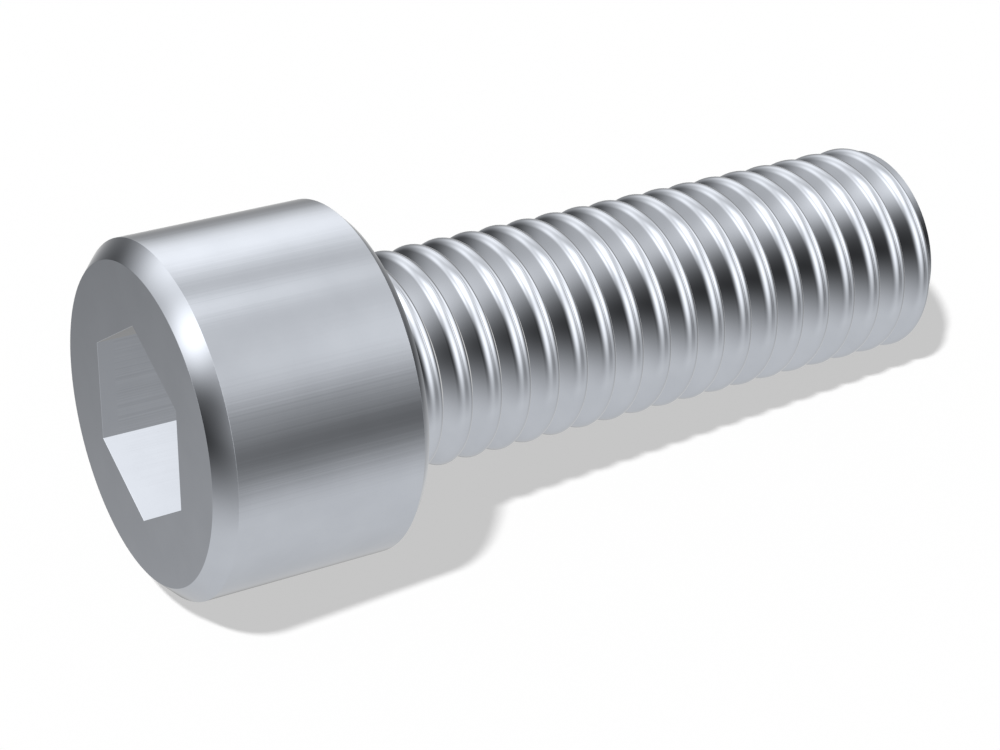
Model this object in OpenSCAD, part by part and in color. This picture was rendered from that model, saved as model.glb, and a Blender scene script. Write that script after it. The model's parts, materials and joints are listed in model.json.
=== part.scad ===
// Hexagon socket head cap screw, M10 x 30, threaded up to the head, lying on its side.
// The screw is one piece. It is drawn standing on its own axis, with the bearing face of
// the head at z = 0 and the thread above it. Then it is laid on the table, which it
// touches with the rim of the head and with the last full turn of the thread.

/* [Head] */
// Diameter of the head
head_d = 16; // [14:0.5:18]
// Height of the head, from the top face to the bearing face
head_h = 10; // [8:0.5:14]
// Width of the 45 degree chamfer round the top face
top_chamfer = 0.8; // [0.3:0.1:1.2]
// Width of the 45 degree chamfer round the bearing face
seat_chamfer = 0.5; // [0.2:0.1:0.8]
// Radius of the fillet between the bearing face and the thread
neck_fillet = 0.6; // [0.3:0.1:0.8]

/* [Socket] */
// Width across the flats of the hexagon socket
socket_af = 8; // [5:0.5:9]
// Depth of the flat walls of the socket
socket_depth = 5; // [4:0.5:6]
// Depth of the shallow cone at the bottom of the socket
socket_cone = 0.8; // [0.3:0.1:1.2]
// Turn of the hexagon about the axis, from a corner that points straight up
socket_turn = -9.5; // [-30:0.5:30]

/* [Thread] */
// Nominal diameter of the thread, over its crests
thread_d = 10; // [9:0.5:12]
// Distance from one turn of the thread to the next
pitch = 1.5; // [1:0.25:1.75]
// Length from the bearing face to the point
length = 30; // [16:1:60]
// Width of the 45 degree chamfer at the point
point_chamfer = 0.75; // [0.4:0.05:1.4]
// Height of the first crest above the bearing face, where the thread faces the table
first_crest = 0.8; // [0:0.1:1.4]

/* [Hidden] */
$fn = 96;

// The 60 degree profile, with a flat crest and a rounded root. The steps are odd, so that
// a flat of the thread lies on the table and not a corner
steps_per_turn = 33;
sharp_height = pitch * sqrt(3) / 2;
crest_r = thread_d / 2;
crest_half = pitch / 16;
flank_end_r = crest_r - sharp_height * 11 / 16;
flank_end_half = pitch * 5 / 32;
root_r = crest_r - sharp_height * 17 / 24;

// Each point is [radius, height], from one crest to the next
profile = [
    [crest_r, -crest_half],
    [crest_r, crest_half],
    [flank_end_r, pitch / 2 - flank_end_half],
    [root_r, pitch / 2],
    [flank_end_r, pitch / 2 + flank_end_half]
];

// The rod starts inside the head and runs on past the point, where it is trimmed
rod_start = first_crest - 3.5 * pitch;
rod_end = length + 2 * pitch;
rod_steps = ceil((rod_end - rod_start) / pitch) * steps_per_turn;
point_r = crest_r - point_chamfer;
trim_gap = 0.5;

// The table touches the end of the head's straight side, and below the point it touches
// the middle of a flat, on the last full crest or where the chamfer cuts the next one
flat_r = crest_r * cos(180 / steps_per_turn);
straight_end = length - point_chamfer + crest_r - flat_r;
last_crest = first_crest + ceil((straight_end - crest_half - first_crest) / pitch) * pitch;
low_edge = last_crest - crest_half;
full_contact = low_edge > straight_end ? last_crest - pitch + crest_half : straight_end;
corner = max(0, low_edge - straight_end) * tan(60) / (1 + tan(60));
tilt = min(
    atan((head_d / 2 - flat_r) / (full_contact + seat_chamfer)),
    atan((head_d / 2 - flat_r + corner) / (straight_end + corner + seat_chamfer))
);
rest_height = head_d / 2 * cos(tilt) - seat_chamfer * sin(tilt);
reach_back = head_h * cos(tilt) + (head_d / 2 - top_chamfer) * sin(tilt);
reach_front = length * cos(tilt) + point_r * sin(tilt);

function rod_point(i, p) =
    let (turn = 360 * i / steps_per_turn)
    [p[0] * cos(turn), p[0] * sin(turn), p[1] + rod_start + pitch * i / steps_per_turn];

// A right-hand threaded rod as one closed surface: a strip one pitch wide winds up the
// helix, and its upper edge is the lower edge of the next turn
module threaded_rod() {
    m = len(profile);
    n = steps_per_turn;
    last = rod_steps;
    function at(i, j) = j < m ? i * m + j : (i + n) * m + j - m;
    points = [
        for (i = [0 : last + n]) for (p = profile) rod_point(i, p),
        [0, 0, rod_start - crest_half],
        [0, 0, rod_start + pitch * (last / n + 1) - crest_half]
    ];
    low = (last + n + 1) * m;
    high = low + 1;
    sides = [
        for (i = [0 : last - 1]) for (j = [0 : m - 1])
            each [
                [at(i, j), at(i, j + 1), at(i + 1, j + 1)],
                [at(i, j), at(i + 1, j + 1), at(i + 1, j)]
            ]
    ];
    low_cap = [
        for (i = [0 : n - 1]) [low, at(i, 0), at(i + 1, 0)],
        for (j = [0 : m - 1]) [low, at(0, j + 1), at(0, j)]
    ];
    high_cap = [
        for (i = [last : last + n - 1]) [high, at(i + 1, 0), at(i, 0)],
        for (j = [0 : m - 1]) [high, at(last, j), at(last, j + 1)]
    ];
    polyhedron(points = points, faces = concat(sides, low_cap, high_cap));
}

// The outline that the thread is rolled inside: a bar with a chamfered point
module bar_outline() {
    rotate_extrude()
        polygon([
            [0, -pitch],
            [crest_r + trim_gap, -pitch],
            [crest_r + trim_gap, length - point_chamfer - trim_gap],
            [point_r, length],
            [0, length]
        ]);
}

module head() {
    r = head_d / 2;
    rotate_extrude()
        polygon([
            [0, -head_h],
            [r - top_chamfer, -head_h],
            [r, top_chamfer - head_h],
            [r, -seat_chamfer],
            [r - seat_chamfer, 0],
            [0, 0]
        ]);
    // The fillet under the head, as a hollow quarter round
    rotate_extrude()
        difference() {
            translate([0, -neck_fillet])
                square([crest_r + neck_fillet / 2, 2 * neck_fillet]);
            translate([crest_r + neck_fillet / 2, neck_fillet])
                circle(r = neck_fillet);
        }
}

module socket() {
    translate([0, 0, -head_h - 1])
        rotate([0, 0, socket_turn])
            cylinder(r = socket_af / sqrt(3), h = socket_depth + 1, $fn = 6);
    translate([0, 0, socket_depth - head_h])
        cylinder(r1 = socket_af / 2, r2 = 0, h = socket_cone);
}

module cap_screw() {
    color("silver")
        translate([(reach_back - reach_front) / 2, 0, rest_height])
            rotate([0, 90 + tilt, 0])
                rotate([0, 0, 180])
                difference() {
                    union() {
                        head();
                        intersection() {
                            threaded_rod();
                            bar_outline();
                        }
                    }
                    socket();
                }
}

cap_screw();
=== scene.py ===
import json
import math

import bpy
from mathutils import Matrix, Vector


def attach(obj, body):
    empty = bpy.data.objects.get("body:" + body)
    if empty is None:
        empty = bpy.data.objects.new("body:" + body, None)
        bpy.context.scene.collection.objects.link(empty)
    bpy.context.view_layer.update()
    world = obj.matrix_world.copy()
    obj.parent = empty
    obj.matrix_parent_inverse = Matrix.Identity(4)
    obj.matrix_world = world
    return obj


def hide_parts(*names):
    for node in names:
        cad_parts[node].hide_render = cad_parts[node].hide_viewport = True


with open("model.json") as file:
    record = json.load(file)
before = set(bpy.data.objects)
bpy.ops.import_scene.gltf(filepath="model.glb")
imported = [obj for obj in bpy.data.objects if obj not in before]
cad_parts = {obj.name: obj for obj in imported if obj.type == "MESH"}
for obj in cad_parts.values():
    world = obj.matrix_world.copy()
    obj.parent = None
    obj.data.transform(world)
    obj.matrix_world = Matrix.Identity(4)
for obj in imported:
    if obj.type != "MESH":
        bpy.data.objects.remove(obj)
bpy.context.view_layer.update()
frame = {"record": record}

mounts = {mount["name"]: mount for mount in frame["record"]["mounts"]}
mm = 0.001
# two heights in millimetres that differ by less than this count as one
closeTo = 0.0001


# Small helpers that stand for clicks in the viewport

def deselectAll():
    if bpy.context.object and bpy.context.object.mode != "OBJECT":
        bpy.ops.object.mode_set(mode="OBJECT")
    bpy.ops.object.select_all(action="DESELECT")


def pick(piece):
    deselectAll()
    piece.select_set(True)
    bpy.context.view_layer.objects.active = piece


def editMode(selectMode):
    # starts with nothing selected
    bpy.ops.object.mode_set(mode="EDIT")
    bpy.ops.mesh.select_mode(type=selectMode)
    bpy.ops.mesh.select_all(action="DESELECT")


def selectWhere(piece, kind, test):
    # selects the vertices, edges or polygons of the active mesh that pass a test of their
    # middle point
    bpy.ops.object.mode_set(mode="OBJECT")
    mesh = piece.data
    for item in list(mesh.vertices) + list(mesh.edges) + list(mesh.polygons):
        item.select = False
    for item in getattr(mesh, kind):
        if kind == "vertices":
            item.select = test(item.co, item)
        elif kind == "edges":
            ends = [mesh.vertices[index].co for index in item.vertices]
            item.select = test((ends[0] + ends[1]) / 2, item)
        else:
            item.select = test(item.center, item)
    bpy.ops.object.mode_set(mode="EDIT")


def applyModifier(piece, kind, **settings):
    pick(piece)
    modifier = piece.modifiers.new(kind.lower(), kind)
    for key, value in settings.items():
        setattr(modifier, key, value)
    bpy.ops.object.modifier_apply(modifier=modifier.name)


def applyBoolean(piece, tool, operation):
    applyModifier(piece, "BOOLEAN", object=tool, operation=operation, solver="EXACT")
    bpy.data.objects.remove(tool, do_unlink=True)


def outwardNormals(piece):
    pick(piece)
    editMode("FACE")
    bpy.ops.mesh.select_all(action="SELECT")
    bpy.ops.mesh.normals_make_consistent(inside=False)
    bpy.ops.object.mode_set(mode="OBJECT")


# The screw, modelled upright in millimetres: its bearing face is at z = 0, the thread is
# above it, and its +X side is the one that will lie on the table

screw = {
    "headDiameter": 16.0,
    "headHeight": 10.0,
    "topChamfer": 0.8,
    "seatChamfer": 0.5,
    "neckFillet": 0.6,
    "socketWidth": 8.0,
    "socketDepth": 5.0,
    "socketCone": 0.8,
    "coneGap": 0.002,
    "socketTurn": -9.5,
    "threadDiameter": 10.0,
    "pitch": 1.5,
    "length": 30.0,
    "pointAlong": 0.75,
    "pointAcross": 1.1,
    "firstCrest": 0.77,
    "crestArc": 0.46,
    "crestSpread": 60.0,
    "seamWidth": 0.06,
    "seamDepth": 0.005,
    "edgeRound": 0.006,
    "mouthRound": 0.01,
    "headSides": 192,
    "pointSides": 180,
    "stepsPerTurn": 128,
    "mergeWithin": 0.0003,
    "smoothAngle": 10.0,
}


def isLevel(piece, edge):
    ends = [piece.data.vertices[index].co for index in edge.vertices]
    along = ends[1] - ends[0]
    return abs(along.z) < 0.1 * along.length


def makeHead(s):
    radius = s["headDiameter"] / 2
    bpy.ops.mesh.primitive_cylinder_add(
        vertices=s["headSides"], radius=radius, depth=s["headHeight"],
        location=(0, 0, -s["headHeight"] / 2))
    head = bpy.context.object
    head.name = "head"
    bpy.ops.object.transform_apply(location=True)
    editMode("EDGE")
    for height, width in ((-s["headHeight"], s["topChamfer"]), (0, s["seatChamfer"])):
        selectWhere(head, "edges", lambda p, e: abs(p.z - height) < closeTo)
        bpy.ops.mesh.bevel(offset=width, offset_type="OFFSET", segments=1, affect="EDGES")
    # both borders of both chamfers are worn slightly round
    rings = [-s["headHeight"], s["topChamfer"] - s["headHeight"], -s["seatChamfer"], 0]
    selectWhere(head, "edges", lambda p, e: isLevel(head, e) and
                any(abs(p.z - height) < closeTo for height in rings))
    bpy.ops.mesh.bevel(offset=s["edgeRound"], offset_type="OFFSET", segments=3, affect="EDGES")
    # the neck: the ring under the head curves up into the thread
    fillet = s["neckFillet"]
    neckRadius = s["threadDiameter"] / 2 + fillet / 2
    seatRadius = radius - s["seatChamfer"] - s["edgeRound"]
    selectWhere(head, "polygons", lambda p, f: abs(p.z) < closeTo and f.normal.z > 0.99)
    bpy.ops.mesh.inset(thickness=seatRadius - neckRadius)
    arcSteps = 12
    before = (neckRadius, 0.0)
    for step in range(1, arcSteps + 1):
        angle = math.pi / 2 * step / arcSteps
        after = (neckRadius - fillet * math.sin(angle), fillet * (1 - math.cos(angle)))
        bpy.ops.mesh.extrude_region_move(
            TRANSFORM_OT_translate={"value": (0, 0, after[1] - before[1])})
        ratio = after[0] / before[0]
        bpy.ops.transform.resize(value=(ratio, ratio, 1), center_override=(0, 0, 0))
        before = after
    bpy.ops.object.mode_set(mode="OBJECT")
    return head


def makeSocketCutter(s):
    # the cutter stands out above the head, and its cone dips a little into its body
    corner = s["socketWidth"] / math.sqrt(3)
    above = 1.0
    overlap = 0.01
    bpy.ops.mesh.primitive_cylinder_add(
        vertices=6, radius=corner, depth=s["socketDepth"] + above,
        location=(0, 0, (s["socketDepth"] - above) / 2 - s["headHeight"]))
    cutter = bpy.context.object
    # a primitive's first corner lies on +Y, and the turn counts from +X
    cutter.rotation_euler.z = math.radians(s["socketTurn"] - 90)
    bpy.ops.object.transform_apply(location=True, rotation=True)
    floor = s["socketDepth"] - s["headHeight"]
    bpy.ops.mesh.primitive_cone_add(
        vertices=s["headSides"] // 2, radius1=s["socketWidth"] / 2 - s["coneGap"], radius2=0,
        depth=s["socketCone"] + 2 * overlap,
        location=(0, 0, floor + s["socketCone"] / 2 - overlap))
    cone = bpy.context.object
    bpy.ops.object.transform_apply(location=True)
    applyBoolean(cutter, cone, "UNION")
    return cutter


def cutSocket(head, s):
    applyBoolean(head, makeSocketCutter(s), "DIFFERENCE")
    # the mouth of the socket is sharp, with only its burr taken off
    slack = 0.01
    mouthReach = s["socketWidth"] / math.sqrt(3) + slack
    pick(head)
    editMode("EDGE")
    selectWhere(head, "edges", lambda p, e: abs(p.z + s["headHeight"]) < closeTo and
                all(math.hypot(*head.data.vertices[i].co.xy) < mouthReach for i in e.vertices))
    bpy.ops.mesh.bevel(offset=s["mouthRound"], offset_type="OFFSET", segments=2, affect="EDGES")
    bpy.ops.object.mode_set(mode="OBJECT")


def makeThread(s):
    # one pitch of the profile, from root to root: a flank, the round crest and a flank. The
    # rolls leave a fine seam along the middle of the crest
    pitch = s["pitch"]
    crestArc = s["crestArc"]
    arcSteps = 8
    arcCentre = s["threadDiameter"] / 2 - crestArc
    spread = math.radians(s["crestSpread"])
    flankRise = (pitch / 2 - crestArc * math.sin(spread)) * math.sqrt(3)
    rootRadius = arcCentre + crestArc * math.cos(spread) - flankRise
    seamAngle = s["seamWidth"] / 2 / crestArc
    side = [seamAngle + (spread - seamAngle) * step / arcSteps for step in range(arcSteps + 1)]
    arc = [(crestArc, -angle) for angle in reversed(side)]
    arc += [(crestArc - s["seamDepth"], 0.0)] + [(crestArc, angle) for angle in side]
    # the strip starts some turns inside the head and runs past the point, to be trimmed
    turnsBefore = 3
    turnsAfter = 2
    start = s["firstCrest"] - turnsBefore * pitch
    outline = [(rootRadius, start - pitch / 2)]
    outline += [(arcCentre + reach * math.cos(angle), start + reach * math.sin(angle))
                for reach, angle in arc]
    outline.append((rootRadius, start + pitch / 2))
    bpy.ops.mesh.primitive_plane_add(size=1, location=(0, 0, 0))
    thread = bpy.context.object
    thread.name = "thread"
    editMode("VERT")
    selectWhere(thread, "vertices", lambda p, v: v.index > 0)
    bpy.ops.mesh.delete(type="VERT")
    bpy.ops.object.mode_set(mode="OBJECT")
    thread.data.vertices[0].co = (outline[0][0], 0, outline[0][1])
    editMode("VERT")
    selectWhere(thread, "vertices", lambda p, v: True)
    for before, after in zip(outline, outline[1:]):
        step = (after[0] - before[0], 0, after[1] - before[1])
        bpy.ops.mesh.extrude_region_move(TRANSFORM_OT_translate={"value": step})
    bpy.ops.object.mode_set(mode="OBJECT")
    turns = math.ceil((s["length"] + turnsAfter * pitch - start) / pitch)
    applyModifier(
        thread, "SCREW", angle=2 * math.pi, screw_offset=pitch, iterations=turns,
        steps=s["stepsPerTurn"], render_steps=s["stepsPerTurn"], axis="Z",
        use_merge_vertices=False)
    pick(thread)
    editMode("VERT")
    bpy.ops.mesh.select_all(action="SELECT")
    bpy.ops.mesh.remove_doubles(threshold=s["mergeWithin"])
    # both ends are cut square and closed, one inside the head and one past the point
    for height, outward in ((-s["seatChamfer"] - pitch, -1), (s["length"] + pitch / 2, 1)):
        bpy.ops.mesh.select_all(action="SELECT")
        bpy.ops.mesh.bisect(
            plane_co=(0, 0, height), plane_no=(0, 0, outward), use_fill=True, clear_outer=True)
    bpy.ops.object.mode_set(mode="OBJECT")
    outwardNormals(thread)
    return thread


def makePointBlank(s):
    # the bar that the thread is rolled in: it ends in a chamfered point
    crestRadius = s["threadDiameter"] / 2
    spare = 0.5
    bottom = -s["seatChamfer"] - 2 * s["pitch"]
    bpy.ops.mesh.primitive_cylinder_add(
        vertices=s["pointSides"], radius=crestRadius + spare, depth=s["length"] - bottom,
        location=(0, 0, (s["length"] + bottom) / 2))
    blank = bpy.context.object
    bpy.ops.object.transform_apply(location=True)
    editMode("FACE")
    selectWhere(blank, "polygons", lambda p, f: abs(p.z - s["length"]) < closeTo)
    across = s["pointAcross"] + spare
    bpy.ops.mesh.inset(thickness=across)
    editMode("VERT")
    selectWhere(blank, "vertices", lambda p, v: abs(p.z - s["length"]) < closeTo and
                p.xy.length > crestRadius)
    drop = across * s["pointAlong"] / s["pointAcross"]
    bpy.ops.transform.translate(value=(0, 0, -drop))
    bpy.ops.object.mode_set(mode="OBJECT")
    return blank


def layOnTable(piece):
    # the mounts say where the screw's axis runs, in metres
    along = Vector(mounts["bearing_face"]["axis"]).normalized()
    across = Vector((0, 1, 0))
    down = across.cross(along)
    bearing = Vector(mounts["hex_drive"]["pos_m"]) + along * screw["headHeight"] * mm
    turn = Matrix((down, across, along)).transposed().to_4x4()
    piece.matrix_world = Matrix.Translation(bearing) @ turn @ Matrix.Scale(mm, 4)
    pick(piece)
    bpy.ops.object.transform_apply(location=True, rotation=True, scale=True)


def makeScrew(s):
    print("making the head")
    head = makeHead(s)
    cutSocket(head, s)
    print("making the thread")
    thread = makeThread(s)
    applyBoolean(thread, makePointBlank(s), "INTERSECT")
    print("joining the head and the thread")
    applyBoolean(thread, head, "UNION")
    # the joins leave some points almost on top of each other
    pick(thread)
    editMode("VERT")
    bpy.ops.mesh.select_all(action="SELECT")
    bpy.ops.mesh.remove_doubles(threshold=s["mergeWithin"])
    bpy.ops.object.mode_set(mode="OBJECT")
    thread.name = "screw"
    thread.data.name = "screw"
    layOnTable(thread)
    outwardNormals(thread)
    pick(thread)
    bpy.ops.object.shade_smooth_by_angle(angle=math.radians(s["smoothAngle"]))
    applyModifier(thread, "WEIGHTED_NORMAL", keep_sharp=True, weight=100)
    return thread


# Materials and light

def linear(hexColour):
    channels = [int(hexColour[i:i + 2], 16) / 255 for i in (1, 3, 5)]
    return tuple(c / 12.92 if c <= 0.04045 else ((c + 0.055) / 1.055) ** 2.4
                 for c in channels) + (1.0,)


def addNode(tree, kind, values=None, links=None, **settings):
    node = tree.nodes.new(kind)
    for key, value in settings.items():
        setattr(node, key, value)
    for socket, value in (values or {}).items():
        node.inputs[socket].default_value = value
    for socket, source in (links or {}).items():
        tree.links.new(source, node.inputs[socket])
    return node


steel = {
    "colour": "#bcc0c7",
    "cloudColour": "#b8bcc3",
    "edgeTint": "#e1e1e1",
    "cloudSize": 2.5,
    "roughness": 0.035,
    "dullRoughness": 0.06,
    "polishSize": 0.6,
    "dieMarkWidth": 0.25,
    "dieMarkLength": 40.0,
    "dieMarkDepth": 0.004,
    "grainSize": 0.12,
    "grainDepth": 0.00008,
    # the part of a noise's range that the clouds and the polish use
    "noiseLow": 0.35,
    "noiseHigh": 0.65,
}


def makeBrightSteel(m):
    # cold forged and rolled steel, degreased and left bright. To the eye it is a soft mirror
    # with a cool tint, a little cloudy, with faint marks of the die along the screw
    material = bpy.data.materials.new("brightForgedSteel")
    material.use_nodes = True
    tree = material.node_tree
    tree.nodes.clear()
    place = addNode(tree, "ShaderNodeTexCoord").outputs["Object"]
    # the mapping turns the pattern so that its Z runs along the screw
    along = Vector(mounts["bearing_face"]["axis"]).normalized()
    lean = math.atan2(along.x, along.z)
    upright = addNode(tree, "ShaderNodeMapping", {"Rotation": (0, -lean, 0)},
                      {"Vector": place}).outputs[0]

    def noise(sizeAcross, sizeAlong, detail):
        # a Noise texture repeats about once a unit, so one over the size in metres
        stretch = addNode(
            tree, "ShaderNodeMapping", {
                "Scale": (1 / (sizeAcross * mm), 1 / (sizeAcross * mm), 1 / (sizeAlong * mm))},
            {"Vector": upright}).outputs[0]
        return addNode(tree, "ShaderNodeTexNoise", {"Scale": 1.0, "Detail": detail},
                       {"Vector": stretch}).outputs["Fac"]

    noiseRange = {"From Min": m["noiseLow"], "From Max": m["noiseHigh"]}
    clouds = addNode(tree, "ShaderNodeMapRange", noiseRange,
                     {"Value": noise(m["cloudSize"], m["cloudSize"], 3.0)}).outputs[0]
    colour = addNode(
        tree, "ShaderNodeMix", {"A": linear(m["colour"]), "B": linear(m["cloudColour"])},
        {"Factor": clouds}, data_type="RGBA")
    polish = addNode(tree, "ShaderNodeMapRange", {
        **noiseRange, "To Min": m["roughness"], "To Max": m["dullRoughness"]},
        {"Value": noise(m["polishSize"], m["polishSize"] * 3, 4.0)}).outputs[0]
    # the marks of the die stay on the straight side of the head and in its socket, and fade
    # over the last tenth of each chamfer
    fade = 0.9
    top = along.dot(Vector(mounts["hex_drive"]["pos_m"]))
    bearing = top + screw["headHeight"] * mm
    height = addNode(tree, "ShaderNodeSeparateXYZ", links={"Vector": upright}).outputs["Z"]
    pastTop = addNode(tree, "ShaderNodeMapRange", {
        "From Min": top + screw["topChamfer"] * fade * mm,
        "From Max": top + screw["topChamfer"] * mm}, {"Value": height}).outputs[0]
    beforeSeat = addNode(tree, "ShaderNodeMapRange", {
        "From Min": bearing - screw["seatChamfer"] * fade * mm,
        "From Max": bearing - screw["seatChamfer"] * mm}, {"Value": height}).outputs[0]
    onSide = addNode(tree, "ShaderNodeMath", links={0: pastTop, 1: beforeSeat},
                     operation="MULTIPLY").outputs[0]
    dieMarks = addNode(tree, "ShaderNodeBump", {"Distance": m["dieMarkDepth"] * mm}, {
        "Strength": onSide, "Height": noise(m["dieMarkWidth"], m["dieMarkLength"], 2.0)}).outputs[0]
    grain = addNode(tree, "ShaderNodeBump", {
        "Strength": 1.0, "Distance": m["grainDepth"] * mm},
        {"Height": noise(m["grainSize"], m["grainSize"], 2.0), "Normal": dieMarks}).outputs[0]
    shader = addNode(
        tree, "ShaderNodeBsdfPrincipled", {
            "Specular Tint": linear(m["edgeTint"]), "Metallic": 1.0},
        {"Base Color": colour.outputs[2], "Roughness": polish, "Normal": grain})
    addNode(tree, "ShaderNodeOutputMaterial", links={"Surface": shader.outputs[0]})
    return material


print("making the screw and its steel")
deselectAll()
piece = makeScrew(screw)
piece.data.materials.clear()
piece.data.materials.append(makeBrightSteel(steel))
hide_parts("cap_screw")
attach(piece, "root")
# the steel mirrors the studio and not itself, so its socket and its thread stay light
piece.visible_glossy = False
piece.visible_diffuse = False
print("screw faces", len(piece.data.polygons))

# The table, the light and the camera

table = {
    "halfWidth": 3.0,
    "colour": "#ffffff",
}

studio = {
    # the lamp that throws the shadow, and the plain light that fills it
    "fill": 0.57,
    "keyShare": 0.43,
    "keyAzimuth": -120.0,
    "keyElevation": 60.0,
    "keySoftness": 4.0,
    # what the metal mirrors: a pale floor, a dark horizon and a grey ceiling
    "floorGlow": 0.94,
    "horizonGlow": 0.0,
    "ceilingGlow": 0.46,
    "floorEdge": -19.0,
    "floorBlur": 8.0,
    "ceilingEdge": 33.0,
    "ceilingBlur": 5.0,
    # azimuth, elevation, tightness and strength, where a dark card is below zero
    "softboxes": {
        "farWindow": (24, 24, 9, 1.65),
        "leftWindow": (-80, 38, 25, 1.85),
        "leftSheet": (-64, 2, 25, 2.0),
        "backWindow": (-30, 34, 15, 1.35),
        "rightSheet": (72, 12, 20, 1.65),
        "rightWindow": (116, 22, 8, 2.6),
        "nearWindow": (-172, 28, 5, 2.6),
        "nearCurtain": (158, 30, 5, -1.35),
        "ceilingLamp": (-96, 84, 12, 2.6),
        "smallLamp": (66, 66, 60, 0.75),
        "darkCard": (-22, -28, 20, -0.35),
        "smallDarkCard": (23, -43, 60, -0.57),
        "sideDarkCard": (76, -20, 20, -0.45),
    },
}

view = {
    "target": (-0.28, 2.55, 2.74),
    "azimuth": 30.774,
    "elevation": 35.954,
    "distance": 131.18,
    "lens": 99.396,
    "sensor": 36.0,
    "clipStart": 0.005,
}


def direction(azimuth, elevation):
    # azimuth 0 looks along +Y, and grows towards +X
    az = math.radians(azimuth)
    el = math.radians(elevation)
    return Vector((math.sin(az) * math.cos(el), math.cos(az) * math.cos(el), math.sin(el)))


def makeTable(t):
    deselectAll()
    size = 2 * t["halfWidth"]
    bpy.ops.mesh.primitive_plane_add(size=size, location=(0, 0, 0))
    floor = bpy.context.object
    floor.name = "tableTop"
    material = bpy.data.materials.new("whitePaper")
    material.use_nodes = True
    shader = material.node_tree.nodes["Principled BSDF"]
    shader.inputs["Base Color"].default_value = linear(t["colour"])
    shader.inputs["Roughness"].default_value = 1.0
    shader.inputs["Specular IOR Level"].default_value = 0.0
    floor.data.materials.append(material)
    floor.visible_glossy = False


def makeStudio(s):
    world = bpy.data.worlds.new("softStudio")
    bpy.context.scene.world = world
    world.use_nodes = True
    tree = world.node_tree
    tree.nodes.clear()
    where = addNode(tree, "ShaderNodeTexCoord").outputs["Generated"]
    split = addNode(tree, "ShaderNodeSeparateXYZ", links={"Vector": where})
    angle = addNode(tree, "ShaderNodeMath", links={0: split.outputs["Z"]},
                    operation="ARCSINE").outputs[0]

    def slope(edge, blur, below, above):
        return addNode(
            tree, "ShaderNodeMapRange", {
                "From Min": math.radians(edge - 3 * blur),
                "From Max": math.radians(edge + 3 * blur),
                "To Min": below, "To Max": above},
            {"Value": angle}, interpolation_type="SMOOTHSTEP").outputs[0]

    def combine(first, second, operation="ADD"):
        return addNode(tree, "ShaderNodeMath", links={0: first, 1: second},
                       operation=operation).outputs[0]

    glow = combine(
        slope(s["floorEdge"], s["floorBlur"], s["floorGlow"], s["horizonGlow"]),
        slope(s["ceilingEdge"], s["ceilingBlur"], 0.0, s["ceilingGlow"] - s["horizonGlow"]))
    for azimuth, elevation, tightness, strength in s["softboxes"].values():
        facing = addNode(tree, "ShaderNodeVectorMath", {1: direction(azimuth, elevation)},
                         {0: where}, operation="DOT_PRODUCT").outputs["Value"]
        near = addNode(tree, "ShaderNodeMapRange", {"From Min": -1.0},
                       {"Value": facing}).outputs[0]
        spot = addNode(tree, "ShaderNodeMath", {1: 2 * tightness}, {0: near},
                       operation="POWER").outputs[0]
        glow = addNode(tree, "ShaderNodeMath", {1: strength}, {0: spot, 2: glow},
                       operation="MULTIPLY_ADD").outputs[0]
    rays = addNode(tree, "ShaderNodeLightPath")
    metalSees = addNode(tree, "ShaderNodeMix", {"A": s["fill"]},
                        {"Factor": rays.outputs["Is Glossy Ray"], "B": glow})
    cameraSees = addNode(tree, "ShaderNodeMix", {"B": 1.0},
                         {"Factor": rays.outputs["Is Camera Ray"], "A": metalSees.outputs[0]})
    background = addNode(tree, "ShaderNodeBackground", {"Color": (1, 1, 1, 1)},
                         {"Strength": cameraSees.outputs[0]})
    addNode(tree, "ShaderNodeOutputWorld", links={"Surface": background.outputs[0]})

    bpy.ops.object.light_add(type="SUN")
    key = bpy.context.object
    key.name = "keyLamp"
    toLamp = direction(s["keyAzimuth"], s["keyElevation"])
    key.rotation_euler = toLamp.to_track_quat("Z", "Y").to_euler()
    key.data.angle = math.radians(s["keySoftness"])
    key.data.energy = s["keyShare"] * math.pi / toLamp.z
    key.visible_glossy = False


def makeCamera(v):
    bpy.ops.object.camera_add()
    camera = bpy.context.object
    camera.data.lens = v["lens"]
    camera.data.sensor_width = v["sensor"]
    camera.data.clip_start = v["clipStart"]
    forward = direction(v["azimuth"], -v["elevation"])
    camera.location = Vector(v["target"]) * mm - forward * v["distance"] * mm
    camera.rotation_euler = forward.to_track_quat("-Z", "Y").to_euler()
    bpy.context.scene.camera = camera


print("making the table, the light and the camera")
makeTable(table)
makeStudio(studio)
makeCamera(view)
bpy.context.scene.view_settings.view_transform = "Standard"
